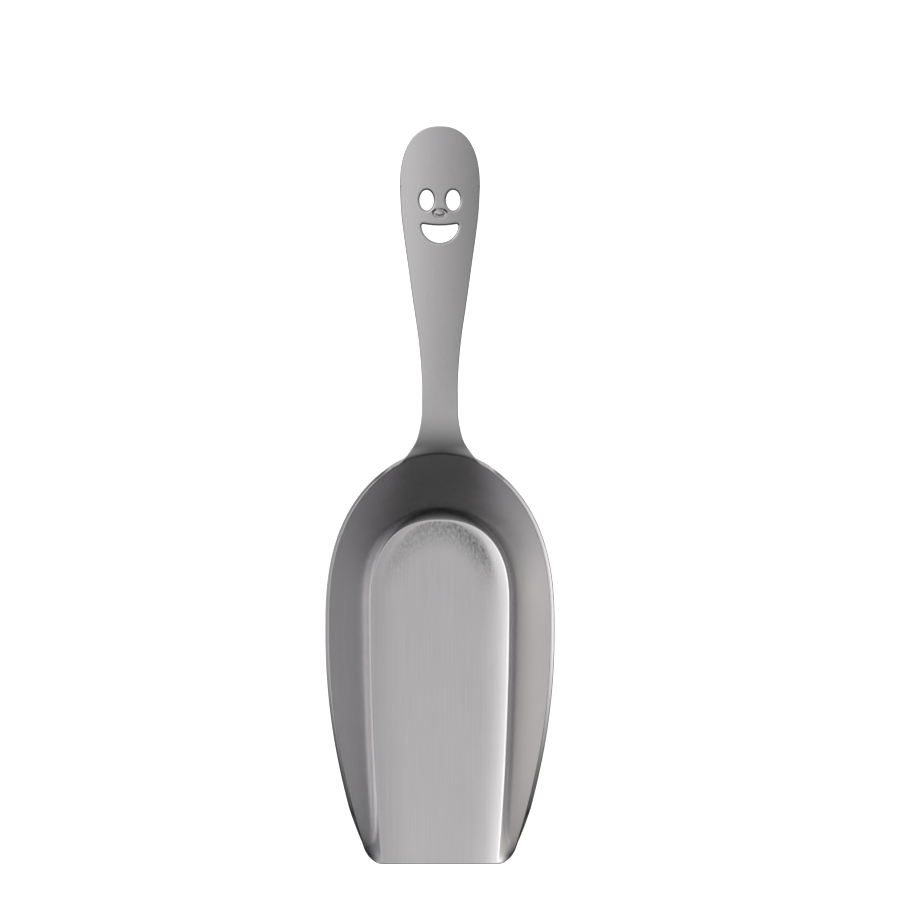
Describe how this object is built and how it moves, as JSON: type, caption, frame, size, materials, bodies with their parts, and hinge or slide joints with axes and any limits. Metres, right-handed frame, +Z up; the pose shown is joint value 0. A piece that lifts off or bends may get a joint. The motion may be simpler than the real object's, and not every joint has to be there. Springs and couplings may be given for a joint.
{
  "type": "ice scoop",
  "caption": "Small hand scoop: a deep pressed steel bowl with an open front lip, welded to an arched flat handle pierced with a smiling face.",
  "frame": {"origin": "bottom centre of the bounding box: on the table under the bowl's flat floor, midway between the lip and the handle's end", "axes": "+Y towards the handle's end, so the open lip points to -Y; +Z up, square to the flat floor; X across"},
  "size_m": [0.0638, 0.205, 0.0552],
  "materials": {
    "satin_steel": "satin, hairline brushed along the length",
    "weld_steel": "dressed weld bead"
  },
  "bodies": {
    "root": {"bowl": "satin_steel", "handle": "satin_steel", "neck_weld": "weld_steel"}
  },
  "joints": []
}
